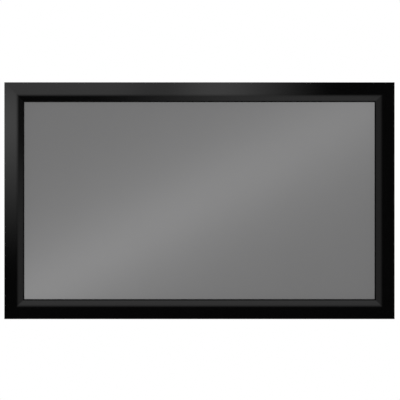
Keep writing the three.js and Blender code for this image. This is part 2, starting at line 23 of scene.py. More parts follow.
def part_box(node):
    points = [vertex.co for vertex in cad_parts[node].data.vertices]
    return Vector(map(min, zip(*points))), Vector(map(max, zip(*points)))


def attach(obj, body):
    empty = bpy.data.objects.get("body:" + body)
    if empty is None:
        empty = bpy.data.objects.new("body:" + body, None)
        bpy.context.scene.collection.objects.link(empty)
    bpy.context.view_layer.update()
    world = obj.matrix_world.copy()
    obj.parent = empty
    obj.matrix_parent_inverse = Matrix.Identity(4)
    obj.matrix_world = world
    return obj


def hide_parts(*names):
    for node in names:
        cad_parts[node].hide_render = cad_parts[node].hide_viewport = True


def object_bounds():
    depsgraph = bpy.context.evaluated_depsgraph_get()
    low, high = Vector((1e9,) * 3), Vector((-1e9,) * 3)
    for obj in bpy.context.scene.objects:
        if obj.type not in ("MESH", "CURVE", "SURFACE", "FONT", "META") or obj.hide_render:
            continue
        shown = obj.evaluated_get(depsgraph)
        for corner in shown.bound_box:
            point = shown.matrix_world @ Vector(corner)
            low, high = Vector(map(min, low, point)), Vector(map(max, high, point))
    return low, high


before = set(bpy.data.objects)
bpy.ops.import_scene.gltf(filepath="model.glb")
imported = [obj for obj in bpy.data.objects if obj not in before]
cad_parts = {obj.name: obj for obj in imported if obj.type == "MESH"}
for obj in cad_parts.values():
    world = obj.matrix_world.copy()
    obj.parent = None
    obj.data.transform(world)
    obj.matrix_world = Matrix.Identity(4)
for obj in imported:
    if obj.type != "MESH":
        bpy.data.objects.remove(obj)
cad_low, cad_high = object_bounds()


def placed(name, data):
    """A new object in the scene."""
    thing = bpy.data.objects.new(name, data)
    bpy.context.scene.collection.objects.link(thing)
    return thing


print("nodes:", len(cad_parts), "box:", cad_low[:], cad_high[:])

# %% [markdown]
# ## Sizes
#
# All four rails have one section. A place on it is given by how far it is in from the frame's outer
# edge and how far it is back from the front face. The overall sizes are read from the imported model;
# the section's own walls, ribs and radii are named here, in metres.

# %% Sizes
MM = 0.001
top_low, top_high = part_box("rail_top")
HALF_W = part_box("rail_right")[1].x
HALF_H = top_high.z
FRONT_Y = top_low.y
FRAME_DEPTH = top_high.y - top_low.y
FACE_W = top_high.z - top_low.z

BOX_W = 58 * MM
WALL = 1.6 * MM
FLAT_PAST_BOX = 2 * MM
EDGE_R = 1.6 * MM
TURN_R = 32 * MM
BEVEL_DEPTH = 18 * MM
NOSE_R = 0.9 * MM
LAND_W = 5 * MM
CHANNEL_DEPTH = 8.8 * MM
REAR_LIP_W = 12 * MM
RIB_OUT = 8 * MM
GROOVE_DEPTH = 6.8 * MM
GROOVE_MOUTH = 3.9 * MM
MITRE_GAP = 0.003 * MM
RUN_CLEAR = 0.3 * MM

CHANNEL_REAR = FRAME_DEPTH - WALL
CHANNEL_FRONT = CHANNEL_REAR - CHANNEL_DEPTH
CHAMBER_REAR = CHANNEL_FRONT - WALL
GROOVE_REAR = FRAME_DEPTH - WALL
GROOVE_FRONT = GROOVE_REAR - GROOVE_DEPTH
RIB_TIP = BOX_W + RIB_OUT
LAND_BACK = BEVEL_DEPTH + NOSE_R

print("outside:", round(2 * HALF_W, 4), "by", round(2 * HALF_H, 4), "face", round(FACE_W, 4))

# %% [markdown]
# ## Camera
#
# The picture was taken level and square on. The edges of the grey area, as pixels of a 400 by 400
# picture, give the scale and the small shift of the centre; the lens follows from them. The camera
# stands far back, so that the frame's depth hardly shows.

# %% Camera
PICTURE = 400
SCREEN_LEFT, SCREEN_RIGHT = 24.28, 374.62
SCREEN_TOP, SCREEN_BOTTOM = 102.4, 298.95
CAMERA_AWAY = 18.0
SENSOR = 36.0

view_w = 2 * (HALF_W - FACE_W)
metres_per_pixel = view_w / (SCREEN_RIGHT - SCREEN_LEFT)
fabric_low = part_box("projection_fabric")[0]
camera_x = (PICTURE / 2 - (SCREEN_LEFT + SCREEN_RIGHT) / 2) * metres_per_pixel
camera_z = ((SCREEN_TOP + SCREEN_BOTTOM) / 2 - PICTURE / 2) * metres_per_pixel

camera = placed("camera", bpy.data.cameras.new("camera"))
camera.location = (camera_x, fabric_low.y - CAMERA_AWAY, camera_z)
camera.rotation_euler = (math.radians(90), 0, 0)
camera.data.sensor_width = SENSOR
camera.data.lens = SENSOR * CAMERA_AWAY / (PICTURE * metres_per_pixel)
camera.data.clip_end = 100
bpy.context.scene.camera = camera
print("lens:", round(camera.data.lens, 1), "millimetres per pixel:", round(metres_per_pixel / MM, 3))

# %% [markdown]
# ## Drawing sections
#
# A section is a closed row of points, put together from arcs and plain corners, anticlockwise round
# the material and the other way round a hole.

# %% Arcs and boxes
def arc(centre, radius, start, end, steps):
    """Points at centre plus radius times (cosine, sine) of evenly spaced angles, in degrees."""
    angle = np.radians(np.linspace(start, end, steps + 1))
    return np.asarray(centre, float) + radius * np.stack([np.cos(angle), np.sin(angle)], axis=1)


def spot(centre, radius, angle):
    """The one point at that angle, in degrees."""
    return arc(centre, radius, angle, angle, 0)[0]


def rounded_box(u0, u1, v0, v1, radius, steps):
    """A rectangle with a quarter arc at each corner, anticlockwise."""
    left, right, low, high = u0 + radius, u1 - radius, v0 + radius, v1 - radius
    corners = [(right, high), (left, high), (left, low), (right, low)]
    return np.concatenate([
        arc(corner, radius, 90 * turn, 90 * turn + 90, steps) for turn, corner in enumerate(corners)
    ])


def anticlockwise(outline):
    """The outline in the order that keeps the material on its left. The area it holds is half the sum of
    each point's cross product with the next, and is negative the other way round."""
    after = np.roll(outline, -1, axis=0)
    area = (outline[:, 0] * after[:, 1] - after[:, 0] * outline[:, 1]).sum()
    return outline if area > 0 else outline[::-1]


print("a rounded box has", len(rounded_box(0, 1, 0, 1, 0.1, 3)), "points")

# %% [markdown]
# A die or a mould leaves no knife edge, and only an eased edge catches a highlight. A Bevel modifier
# could round the finished mesh. On the section it is one formula, and it can't pinch a thin wall.
# Drawing a whole section in by a little does the same for the two ends of a piece.

# %% Eased corners
EASE_STEPS = 3
EASE_ABOVE = math.radians(22)


def eased(outline, cut):
    """Sharp corners made small curves. A corner P with cut-backs a and b along its two edges becomes
    P + (1 - t) squared times a + t squared times b, with t from 0 to 1. A cut-back is at most 0.4 of
    its edge."""
    before = np.roll(outline, 1, axis=0) - outline
    after = np.roll(outline, -1, axis=0) - outline
    long_before = np.linalg.norm(before, axis=1, keepdims=True)
    long_after = np.linalg.norm(after, axis=1, keepdims=True)
    turn_cosine = -(before * after).sum(axis=1) / (long_before * long_after)[:, 0]
    sharp = turn_cosine < math.cos(EASE_ABOVE)
    length = np.minimum(cut, 0.4 * np.minimum(long_before, long_after)) * sharp[:, None]
    t = np.linspace(0, 1, EASE_STEPS + 1)[None, :, None]
    back = (before / long_before * length)[:, None]
    on = (after / long_after * length)[:, None]
    curve = outline[:, None] + (1 - t) ** 2 * back + t**2 * on
    kept = sharp[:, None] | (np.arange(EASE_STEPS + 1) == 0)[None, :]
    return curve[kept]


def drawn_in(outline, amount):
    """Every edge moved left by amount: a point moves by the sum of its edges' unit normals over one plus
    their dot product."""
    edge = np.roll(outline, -1, axis=0) - outline
    edge = edge / np.linalg.norm(edge, axis=1, keepdims=True)
    normal = np.stack([-edge[:, 1], edge[:, 0]], axis=1)
    before = np.roll(normal, 1, axis=0)
    return outline + amount * (normal + before) / (1 + (normal * before).sum(axis=1, keepdims=True))


print("eased, it has", len(eased(rounded_box(0, 1, 0, 1, 0.1, 3), 0.01)), "points")

# %% [markdown]
# ## Places on the frame
#
# The four sides are the same thing turned by quarter turns. One function takes a place on a side,
# as along, in and back, to the object's own axes; another does it for the corners, where the two
# distances are taken from the two outer edges.

# %% Places on the frame
SIDES = ("top", "right", "bottom", "left")
LEVELS = ("top", "bottom")


def on_side(side, along, inward, back):
    """The place that far along the side, clockwise from its middle, in from the outer edge, and back from
    the front."""
    x, z = {
        "top": (along, HALF_H - inward),
        "right": (HALF_W - inward, -along),
        "bottom": (-along, inward - HALF_H),
        "left": (inward - HALF_W, along),
    }[side]
    return np.stack(np.broadcast_arrays(x, FRONT_Y + back, z), axis=-1)


def middle_along(side, source):
    """How far along its side the middle of the CAD node `source` lies."""
    low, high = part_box(source)
    centre = (low + high) / 2
    return {"top": centre.x, "right": -centre.z, "bottom": -centre.x, "left": centre.z}[side]


def half_along(side, source):
    """Half the length of the CAD node `source` along its side."""
    low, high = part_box(source)
    return (high.x - low.x if side in LEVELS else high.z - low.z) / 2


print("half the top rod:", round(half_along("top", "tension_rod_top"), 4))

# %% [markdown]
# ## Carrying a section
#
# Rails, rods, clips, plates and pads are all one section carried along a straight line. The section
# is drawn in on a quarter circle at both ends, so no edge is knife sharp. The ends are closed with
# triangles that leave the section's hollows open.

# %% Carrying a section
def quads(rows, columns, first=0, closed=True):
    """Quads of a grid of points. When it is closed, its last column joins its first."""
    here = np.arange(columns if closed else columns - 1)
    there = (here + 1) % columns
    row = first + np.arange(rows - 1)[:, None] * columns
    corners = [row + here, row + there, row + columns + there, row + columns + here]
    return np.stack(corners, axis=-1).reshape(-1, 4).tolist()


def carried(loops, start, end, place, edge=0.0, between=1, edge_steps=3, extra=()):
    """Points, faces and a surface grid for loops carried from start to end.

    Near an end, at the angle a of a quarter circle with radius `edge`, the section stands
    edge times (1 - cos a) from the end and is drawn in by edge times (1 - sin a).
    `loops` is the outline and any holes, or a function that gives them for a distance along."""
    quarter = np.linspace(0, math.pi / 2, edge_steps + 1) if edge > 0 else np.array([math.pi / 2])
    into = edge * (1 - np.cos(quarter))
    inset = edge * (1 - np.sin(quarter))
    inner = np.linspace(start + into[-1], end - into[-1], between + 1)[1:-1]
    inner = np.sort(np.concatenate([inner, np.asarray(extra, float)]))
    runs = np.concatenate([start + into, inner, (end - into)[::-1]])
    insets = np.concatenate([inset, np.zeros(len(inner)), inset[::-1]])
    section = loops if callable(loops) else lambda run: loops
    drawn = [[drawn_in(loop, amount) for loop in section(run)] for run, amount in zip(runs, insets)]

    points, grain, faces, starts, first = [], [], [], [], 0
    for which in range(len(drawn[0])):
        rings = np.stack([loops_here[which] for loops_here in drawn])
        count = rings.shape[1]
        run = np.broadcast_to(runs[:, None], rings.shape[:2])
        step = np.linalg.norm(np.diff(rings, axis=1, prepend=rings[:, :1]), axis=2)
        points.append(place(rings[..., 0], rings[..., 1], run).reshape(-1, 3))
        grain.append(np.stack([run, step.cumsum(axis=1), np.zeros_like(run)], axis=-1).reshape(-1, 3))
        faces += quads(len(runs), count, first)
        starts.append((first, count))
        first += rings.shape[0] * count

    for rings_here, is_last in ((drawn[0], False), (drawn[-1], True)):
        flat = [[Vector((*p, 0)) for p in loop] for loop in rings_here]
        shift = [begin + (len(runs) - 1) * count * is_last for begin, count in starts]
        number = np.concatenate([base + np.arange(count) for base, (_, count) in zip(shift, starts)])
        faces += [[int(number[i]) for i in triangle] for triangle in tessellate_polygon(flat)]
    return np.concatenate(points), faces, np.concatenate(grain)


trial = carried(
    [rounded_box(0, 1, 0, 1, 0.1, 3)], 0, 5, lambda u, v, run: np.stack([u, run, v], axis=-1), edge=0.1
)
print("a plain bar has", len(trial[0]), "points and", len(trial[1]), "faces")

# %% [markdown]
# ## Making a piece
#
# A piece stands for one node of the construction model: it hides that node and rides on the
# object's one body. Faces are turned outwards, and edges flatter than a set angle shade smooth.

# %% Making a piece
SMOOTH_BELOW = 38
MERGE_WITHIN = 1e-6
ONE_PLANE = math.radians(0.5)


def mended(mesh, change, into=None):
    """The mesh passed through Blender's mesh editing, where `change` is made to it."""
    shell = bmesh.new()
    shell.from_mesh(mesh)
    change(shell)
    shell.to_mesh(into or mesh)
    shell.free()
    return into or mesh


def meshed(name, shape, change):
    """A mesh from points, faces and, where there is one, a surface grid, which materials can read."""
    points, faces, grain = shape
    mesh = bpy.data.meshes.new(name)
    mesh.from_pydata(points.tolist(), [], faces)
    if grain is not None:
        kept = mesh.attributes.new("grain", "FLOAT_VECTOR", "POINT")
        kept.data.foreach_set("vector", np.ascontiguousarray(grain, np.float32).ravel())
    return mended(mesh, change)


def outwards(shell):
    bmesh.ops.recalc_face_normals(shell, faces=shell.faces)


def merged(shell):
    bmesh.ops.remove_doubles(shell, verts=shell.verts, dist=MERGE_WITHIN)


def whole_faces(shell):
    """Loose triangles are joined, and those that lie in one plane become one face."""
    merged(shell)
    bmesh.ops.dissolve_limit(shell, angle_limit=ONE_PLANE, verts=shell.verts, edges=shell.edges)


def piece(name, source, shape, material):
    """A finished piece in place of the CAD node `source`, with its points already where they belong."""
    return settle(name, meshed(name, shape, outwards), source, material, SMOOTH_BELOW)


def settle(name, mesh, source, material, smooth):
    """Shades and paints a piece, puts it on the object's one body and hides the CAD node. Weighted normals
    keep flat faces flat beside narrow curves.
    """
    thing = placed(name, mesh)
    mesh.polygons.foreach_set("use_smooth", np.ones(len(mesh.polygons), bool))
    if smooth:
        mesh.set_sharp_from_angle(angle=math.radians(smooth))
        thing.modifiers.new("weighted normals", "WEIGHTED_NORMAL").keep_sharp = True
    mesh.materials.append(material)
    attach(thing, "root")
    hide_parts(source)
    return thing


def eased_copy(name, source, material, edge):
    """The CAD node's own shape, with its triangles merged into whole faces and its edges rounded."""
    mesh = mended(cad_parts[source].data, whole_faces, bpy.data.meshes.new(name))
    thing = settle(name, mesh, source, material, 0)
    rounding = thing.modifiers.new("rounded edges", "BEVEL")
    rounding.width = edge
    rounding.segments = 2
    rounding.limit_method = "ANGLE"
    rounding.angle_limit = math.radians(35)
    rounding.harden_normals = True
    return thing


print("edges below", SMOOTH_BELOW, "degrees shade smooth")

# %% [markdown]
# ## Building finishes
#
# Materials, the world and the lamps are all trees of nodes. One helper adds a node and wires it, so
# that a tree reads like a formula.

# %% Nodes
def add(tree, kind, *inputs, **named):
    """A new node's outputs. What is given goes to its first inputs, or to the input or setting of its
    name: an output is wired, anything else is set."""
    made = tree.nodes.new(kind)
    for name, value in [*enumerate(inputs), *named.items()]:
        if isinstance(name, str) and name not in made.inputs:
            setattr(made, name, value)
        elif isinstance(value, bpy.types.NodeSocket):
            tree.links.new(value, made.inputs[name])
        else:
            made.inputs[name].default_value = value
    return made.outputs


def maths(tree, operation, first, second=0.0):
    return add(tree, "ShaderNodeMath", first, second, operation=operation)[0]


def eased_range(tree, value, start, full, low=0.0, high=1.0):
    """From low to high on an S-shaped curve, as the value goes from start to full."""
    steps = (value, start, full, low, high)
    return add(tree, "ShaderNodeMapRange", *steps, interpolation_type="SMOOTHSTEP")[0]


print("helpers for every tree:", [made.__name__ for made in (add, maths, eased_range)])

# %% [markdown]
# Each finish is one Principled shader with its plain values on its own sockets. Noise then varies the
# colour and the roughness and gives the relief. A painted texture would need an unwrapped mesh. Noise
# needs only the object's coordinates, or the surface grid where the pattern follows the piece.

# %% Finish helpers
NOISE_LOW, NOISE_HIGH = 0.3, 0.7


def principled(material):
    return material.node_tree.nodes["Principled BSDF"]


def finish(name, colour, roughness, metallic=0.0):
    """A material with its shader set to one plain finish."""
    material = bpy.data.materials.new(name)
    material.use_nodes = True
    shader = principled(material)
    shader.inputs["Base Color"].default_value = (*colour, 1)
    shader.inputs["Roughness"].default_value = roughness
    shader.inputs["Metallic"].default_value = metallic
    return material


def noise(material, scale, detail=3.0, stretch=(1, 1, 1), grid=False, distortion=0.0):
    """Noise from 0 to 1, with `scale` bumps to the metre, on Object coordinates or on the piece's own
    surface grid."""
    tree = material.node_tree
    if grid:
        origin = add(tree, "ShaderNodeAttribute", attribute_name="grain")["Vector"]
    else:
        origin = add(tree, "ShaderNodeTexCoord")["Object"]
    place = add(tree, "ShaderNodeMapping", origin, Scale=stretch)["Vector"]
    values = {"Scale": scale, "Detail": detail, "Distortion": distortion}
    return add(tree, "ShaderNodeTexNoise", place, **values)["Fac"]


def vary_colour(material, source, dark, light):
    """The base colour goes from dark to light over the range in which nearly all of the noise lies."""
    tree = material.node_tree
    colour = add(tree, "ShaderNodeValToRGB", source)["Color"]
    stops = zip(colour.node.color_ramp.elements, (NOISE_LOW, NOISE_HIGH), (dark, light))
    for stop, position, tone in stops:
        stop.position = position
        stop.color = (*tone, 1)
    tree.links.new(colour, principled(material).inputs["Base Color"])


def vary_roughness(material, source, smooth, rough):
    tree = material.node_tree
    spread = add(tree, "ShaderNodeMapRange", source, 0.0, 1.0, smooth, rough)[0]
    tree.links.new(spread, principled(material).inputs["Roughness"])


def relief(material, source, height):
    """Bump of that height in metres, laid over any relief that the material has already."""
    tree, normal = material.node_tree, principled(material).inputs["Normal"]
    values = {"Strength": 1.0, "Distance": height, "Height": source}
    if normal.links:
        values["Normal"] = normal.links[0].from_socket
    tree.links.new(add(tree, "ShaderNodeBump", **values)["Normal"], normal)


print("nearly all noise lies from", NOISE_LOW, "to", NOISE_HIGH)

# %% [markdown]
# ## Satin black coat
#
# The rails and the brace are powder coated. The coat is nearly black, and what is seen of it is
# gloss: a satin sheen, a very fine orange peel, and faint lines along the rail from the extrusion
# die, which the coat only half hides. The lines read the surface grid, so they turn with each rail.
# The lip beside the fabric gets a narrow strip of dull black with almost no specular. It is painted shade
# that stands for the dark shadow line where the bevel meets the fabric.

# %% Satin black coat
COAT_BLACK = (0.0006, 0.0006, 0.00064)


def satin_coat(name, colour, roughness):
    coat = finish(name, colour, roughness)
    lighter = tuple(1.35 * value for value in colour)
    vary_colour(coat, noise(coat, 14, detail=5), colour, lighter)
    vary_roughness(coat, noise(coat, 60, detail=6), roughness - 0.03, roughness + 0.03)
    relief(coat, noise(coat, 420, detail=2), 0.012 * MM)
    relief(coat, noise(coat, 900, detail=2, stretch=(0.002, 1, 1), grid=True), 0.010 * MM)
    return coat


rail_coat = satin_coat("satin_black_coat", COAT_BLACK, 0.15)
brace_coat = satin_coat("satin_black_brace", (0.004, 0.004, 0.0042), 0.36)

# The lip strip is a dull black finish, painted shade for the shadow line beside the fabric.
lip_painted_shade = finish("black_lip_painted_shade", (0.0012, 0.0012, 0.0013), 0.8)
principled(lip_painted_shade).inputs["Specular IOR Level"].default_value = 0.08
vary_colour(lip_painted_shade, noise(lip_painted_shade, 900), (0.0009, 0.0009, 0.001), (0.0018, 0.0018, 0.0019))
relief(lip_painted_shade, noise(lip_painted_shade, 2400, detail=2), 0.05 * MM)
print("coats:", rail_coat.name, brace_coat.name, lip_painted_shade.name)

# %% [markdown]
# ## Rails
#
# One extrusion makes all four rails: a flat front that turns over on a large radius and slopes back
# to a round-nosed lip at the fabric, a closed chamber behind the flat, and behind that a channel and
# a groove that take the hardware. The slope touches both radii, which sets its angle. The turn is
# drawn softer here than in the construction model, because a highlight dies away slowly in it, and a
# softer turn between the same two faces only starts sooner and ends later.

# %% Rail section
SOFT_TURN_R = 46 * MM
LIP_W = 6 * MM
DIE_ROUND = 0.25 * MM


def bevel_slope():
    """The angle, in degrees, of the line that touches the large radius and the nose."""
    run = FACE_W - NOSE_R - BOX_W - FLAT_PAST_BOX
    rise = TURN_R - BEVEL_DEPTH
    return math.degrees(math.asin((TURN_R - NOSE_R) / math.hypot(run, rise)) - math.atan2(rise, run))


def rail_outline():
    """The turn starts a radius times the tangent of half the slope before flat and slope would meet."""
    slope = bevel_slope()
    lean = math.radians(slope)
    flat_end = BOX_W + FLAT_PAST_BOX - (SOFT_TURN_R - TURN_R) * math.tan(lean / 2)
    nose_u = FACE_W - NOSE_R
    back_u = nose_u - LAND_W
    slope_start_u = nose_u + NOSE_R * math.sin(lean)
    slope_start_v = BEVEL_DEPTH - NOSE_R * math.cos(lean)
    slope_at_back = slope_start_v - (slope_start_u - back_u) * math.tan(lean)
    lip_u = FACE_W - LIP_W
    return np.concatenate([
        arc((EDGE_R, EDGE_R), EDGE_R, 180, 270, 6),
        arc((flat_end, SOFT_TURN_R), SOFT_TURN_R, -90, -90 + slope, 20),
        [(lip_u, slope_start_v - (slope_start_u - lip_u) * math.tan(lean))],
        arc((nose_u, BEVEL_DEPTH), NOSE_R, -90 + slope, 90, 8),
        [(back_u, LAND_BACK), (back_u, slope_at_back + WALL / math.cos(lean))],
        arc((flat_end, SOFT_TURN_R), SOFT_TURN_R - WALL, -90 + slope, -90, 12),
        [
            (BOX_W, WALL), (BOX_W, GROOVE_FRONT - WALL), (RIB_TIP, GROOVE_FRONT - WALL),
            (RIB_TIP, GROOVE_FRONT), (BOX_W, GROOVE_FRONT), (BOX_W, GROOVE_REAR),
            (RIB_TIP - WALL, GROOVE_REAR), (RIB_TIP - WALL, GROOVE_FRONT + GROOVE_MOUTH),
            (RIB_TIP, GROOVE_FRONT + GROOVE_MOUTH), (RIB_TIP, FRAME_DEPTH),
            (BOX_W - REAR_LIP_W, FRAME_DEPTH), (BOX_W - REAR_LIP_W, CHANNEL_REAR),
            (BOX_W - WALL, CHANNEL_REAR), (BOX_W - WALL, CHANNEL_FRONT), (WALL, CHANNEL_FRONT),
            (WALL, CHANNEL_REAR), (REAR_LIP_W, CHANNEL_REAR), (REAR_LIP_W, FRAME_DEPTH), (0, FRAME_DEPTH),
        ],
    ])


print("rail section:", len(rail_outline()), "points, slope", round(bevel_slope(), 2), "degrees")

# %% [markdown]
# The rails meet in 45 degree mitres. A long bar could be cut with a Boolean. Here each point of the
# section stops short of the end by its own distance in from the edge, which is the same cut, and it
# leaves every line of the section whole.

# %% Rails
def rail(side):
    """The section's two loops, carried from -1 to 1 times the length that each point of it has."""
    outline = eased(anticlockwise(rail_outline()), DIE_ROUND)
    chamber = rounded_box(WALL, BOX_W - WALL, WALL, CHAMBER_REAR, WALL / 2, 3)[::-1]
    reach = (HALF_W if side in LEVELS else HALF_H) - MITRE_GAP
    points, faces, grain = carried(
        [outline, chamber], -1, 1, lambda u, v, t: on_side(side, t * (reach - u), u, v), between=24
    )
    grain[:, 0] *= reach
    shape = points, faces, grain
    made = piece(f"{side}_rail", f"rail_{side}", shape, rail_coat)
    # The front faces at the lip take the painted shade finish.
    made.data.materials.append(lip_painted_shade)
    made.data.polygons.foreach_set("material_index", on_lip(made.data, side).astype(np.int32))
    return made


def on_lip(mesh, side):
    """True for each front face whose middle is within the lip's width of the opening, where the painted
    shade strip goes.
    """
    centre = np.empty((len(mesh.polygons), 3), np.float32)
    facing = np.empty_like(centre)
    mesh.polygons.foreach_get("center", centre.ravel())
    mesh.polygons.foreach_get("normal", facing.ravel())
    axis, edge = {
        "top": (2, HALF_H), "right": (0, HALF_W), "bottom": (2, -HALF_H), "left": (0, -HALF_W)
    }[side]
    inward = np.abs(edge - centre[:, axis])
    return (inward > FACE_W - LIP_W) & (inward < FACE_W) & (facing[:, 1] < 0)


rails = {side: rail(side) for side in SIDES}
print("rails:", [made.name for made in rails.values()])

# %% [markdown]
# ## Projection fabric
#
# The fabric is one sheet of soft vinyl, grey in front and black behind so that no light passes. Its
# four edges are folded back round the rods and welded, and its corners are notched so that the folds
# don't meet. It is built as the front face alone: a flat grid, and a strip on each side that follows
# the fold. Solidify then gives it its thickness and its black back. Its cut size is the flat grid
# plus the length of the strips.

# %% Fabric sizes
rod_low, rod_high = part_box("tension_rod_top")
ROD_R = (rod_high.z - rod_low.z) / 2
ROD_IN = HALF_H - (rod_high.z + rod_low.z) / 2
ROD_BACK = (rod_high.y + rod_low.y) / 2 - FRONT_Y
ROD_AT = np.array([ROD_IN, ROD_BACK])
FABRIC_BACK = fabric_low.y - FRONT_Y
FABRIC_T = 0.5 * MM
FLAP_BACK = FABRIC_BACK + 2 * FABRIC_T
SLEEVE_R = ROD_R + 0.2 * MM + FABRIC_T
WELD_START = 9.5 * MM
WELD_W = 9 * MM
SLEEVE_STOP = 15.5 * MM
NOTCH_IN = ROD_IN + SLEEVE_STOP


def fold_angle(radius, back):
    """Where a line from the weld's start touches a circle round the rod, in degrees."""
    forward = ROD_BACK - back
    reach = math.hypot(WELD_START, forward)
    return math.degrees(math.atan2(-forward, WELD_START) + math.acos(radius / reach))


def straight(start, end, back, steps):
    """Evenly spaced points from start to end at one depth, as (in, back)."""
    return np.stack([np.linspace(start, end, steps + 1), np.full(steps + 1, back)], axis=1)


def fold_profile():
    """From the notch line out to the rod, round it, and back to the end of the weld."""
    weld_in = ROD_IN + WELD_START
    return np.concatenate([
        straight(NOTCH_IN, ROD_IN, FABRIC_BACK, 5)[:-1],
        arc(ROD_AT, SLEEVE_R, 270, fold_angle(SLEEVE_R, FLAP_BACK), 28),
        straight(weld_in, weld_in + WELD_W, FLAP_BACK, 6),
    ])


profile = fold_profile()
fold_length = np.linalg.norm(np.diff(profile, axis=0), axis=1).sum()

# %% [markdown]
# The front is printed on as a matte coat with a fine, even emboss and no direction. A gain coat like
# this one spreads light wide but not evenly, so a soft band shows where it faces a light. The back is
# plain black vinyl. On the folded strips a press leaves a row of fine bars along the weld.

# %% Fabric finishes
FABRIC_GREY = (0.160, 0.160, 0.161)
fabric_front = finish("matte_grey_vinyl", FABRIC_GREY, 0.46)
FABRIC_DARKER = tuple(0.985 * value for value in FABRIC_GREY)
vary_colour(fabric_front, noise(fabric_front, 5, detail=6), FABRIC_DARKER, FABRIC_GREY)
relief(fabric_front, noise(fabric_front, 1500, detail=2), 0.010 * MM)

fabric_rear = finish("black_vinyl_back", (0.011, 0.011, 0.012), 0.62)
vary_colour(fabric_rear, noise(fabric_rear, 25, detail=6), (0.009, 0.009, 0.010), (0.014, 0.014, 0.015))
relief(fabric_rear, noise(fabric_rear, 1100, detail=2), 0.03 * MM)

BAR_PITCH = 2 * MM
BAR_HEIGHT = 0.12 * MM


def weld_bars(material):
    """Bars across the weld: a sine along the edge, kept to where the grid's third value, how far out and
    round the fold a place lies, passes the weld line."""
    tree = material.node_tree
    grid = add(tree, "ShaderNodeAttribute", attribute_name="grain")["Vector"]
    place = add(tree, "ShaderNodeSeparateXYZ", grid)
    wave = maths(tree, "SINE", maths(tree, "MULTIPLY", place["X"], 2 * math.pi / BAR_PITCH))
    inside = maths(tree, "GREATER_THAN", place["Z"], fold_length - WELD_W)
    relief(material, maths(tree, "MULTIPLY", wave, inside), BAR_HEIGHT)


weld_bars(fabric_front)
print("fabric finishes:", fabric_front.name, fabric_rear.name)

# %% [markdown]
# A cloth simulation could pull the sheet tight, but a fabric under this much pull is simply flat.
# Each side's fold is swept from the same line of points as the flat grid's edge, so that the strips
# and the grid merge.

# %% Fabric
GRID_ACROSS, GRID_UP = 120, 68


def fabric_sheet():
    """A flat grid over the notched middle, and on each side the fold profile swept along that side."""
    x = np.linspace(-1, 1, GRID_ACROSS + 1) * (HALF_W - NOTCH_IN)
    z = np.linspace(-1, 1, GRID_UP + 1) * (HALF_H - NOTCH_IN)
    across, up = np.meshgrid(x, z)
    flat = np.stack([across, np.full_like(across, FRONT_Y + FABRIC_BACK), up], axis=-1)
    points = [flat.reshape(-1, 3)]
    grain = [np.stack([across, up, np.zeros_like(up)], axis=-1).reshape(-1, 3)]
    faces = quads(*up.shape, closed=False)
    girth = np.concatenate([[0], np.linalg.norm(np.diff(profile, axis=0), axis=1).cumsum()])
    for side in SIDES:
        run, out = np.meshgrid(x if side in LEVELS else z, girth)
        faces += quads(*run.shape, sum(map(len, points)), closed=False)
        points.append(on_side(side, run, profile[:, :1], profile[:, 1:]).reshape(-1, 3))
        grain.append(np.stack([run, out, out], axis=-1).reshape(-1, 3))
    return np.concatenate(points), faces, np.concatenate(grain)


FABRIC_SMOOTH_BELOW = 50
fabric = settle(
    "grey_fabric", meshed("grey_fabric", fabric_sheet(), merged), "projection_fabric", fabric_front,
    FABRIC_SMOOTH_BELOW,
)
fabric.data.materials.append(fabric_rear)
thick = fabric.modifiers.new("vinyl thickness", "SOLIDIFY")
thick.thickness = FABRIC_T - 0.02 * MM
thick.offset = -1
thick.material_offset = 1
thick.material_offset_rim = 1

# %% [markdown]
# ## Tension rods
#
# A fibreglass rod lies in each sleeve and shows only its two ends, where the clips' pull is passed
# on. Pulled fibreglass has streaks along its length and a waxy, off-white colour. A cylinder would do
# for the shape, but a carried ring brings the grid that the streaks follow.

# %% Tension rods
fibreglass = finish("pulled_fibreglass", (0.62, 0.60, 0.50), 0.42)
streaks = noise(fibreglass, 1600, 3, (0.01, 1, 1), grid=True)
vary_colour(fibreglass, streaks, (0.52, 0.50, 0.40), (0.70, 0.68, 0.59))
relief(fibreglass, noise(fibreglass, 2200, 2, (0.01, 1, 1), grid=True), 0.03 * MM)
waxy = {"Subsurface Weight": 0.15, "Subsurface Scale": 1.5 * MM, "Subsurface Radius": (1, 1, 0.8)}
for socket, value in waxy.items():
    principled(fibreglass).inputs[socket].default_value = value
ROD_EDGE = 0.6 * MM


def rod(side):
    """A ring round the rod's middle line, carried along the side."""
    source = f"tension_rod_{side}"
    half = half_along(side, source)
    ring = arc(ROD_AT, ROD_R, 0, 360, 28)[:-1]
    shape = carried(
        [ring], -half, half, lambda u, v, run: on_side(side, run, u, v), edge=ROD_EDGE, between=40
    )
    return piece(f"{side}_rod", source, shape, fibreglass)


rods = [rod(side) for side in SIDES]
print("rods:", [made.name for made in rods])

# %% [markdown]
# ## Tension clips
#
# A clip is one moulding of black nylon. It is tough, slightly soft and never quite glossy, so its
# finish is a fine grain with a roughness that comes and goes.

# %% Clip finish
clip_plastic = finish("black_nylon", (0.010, 0.010, 0.011), 0.48)
vary_colour(clip_plastic, noise(clip_plastic, 180, 4), (0.008, 0.008, 0.009), (0.014, 0.014, 0.015))
vary_roughness(clip_plastic, noise(clip_plastic, 90, 4), 0.42, 0.58)
relief(clip_plastic, noise(clip_plastic, 1800, 2), 0.02 * MM)
print("clip finish:", clip_plastic.name)

# %% [markdown]
# The clip's heel sits behind the groove's return lip on the rail, and its jaw wraps the sleeve, open
# towards the front where the fabric leaves. Three small webs stiffen the corner between arm and jaw.

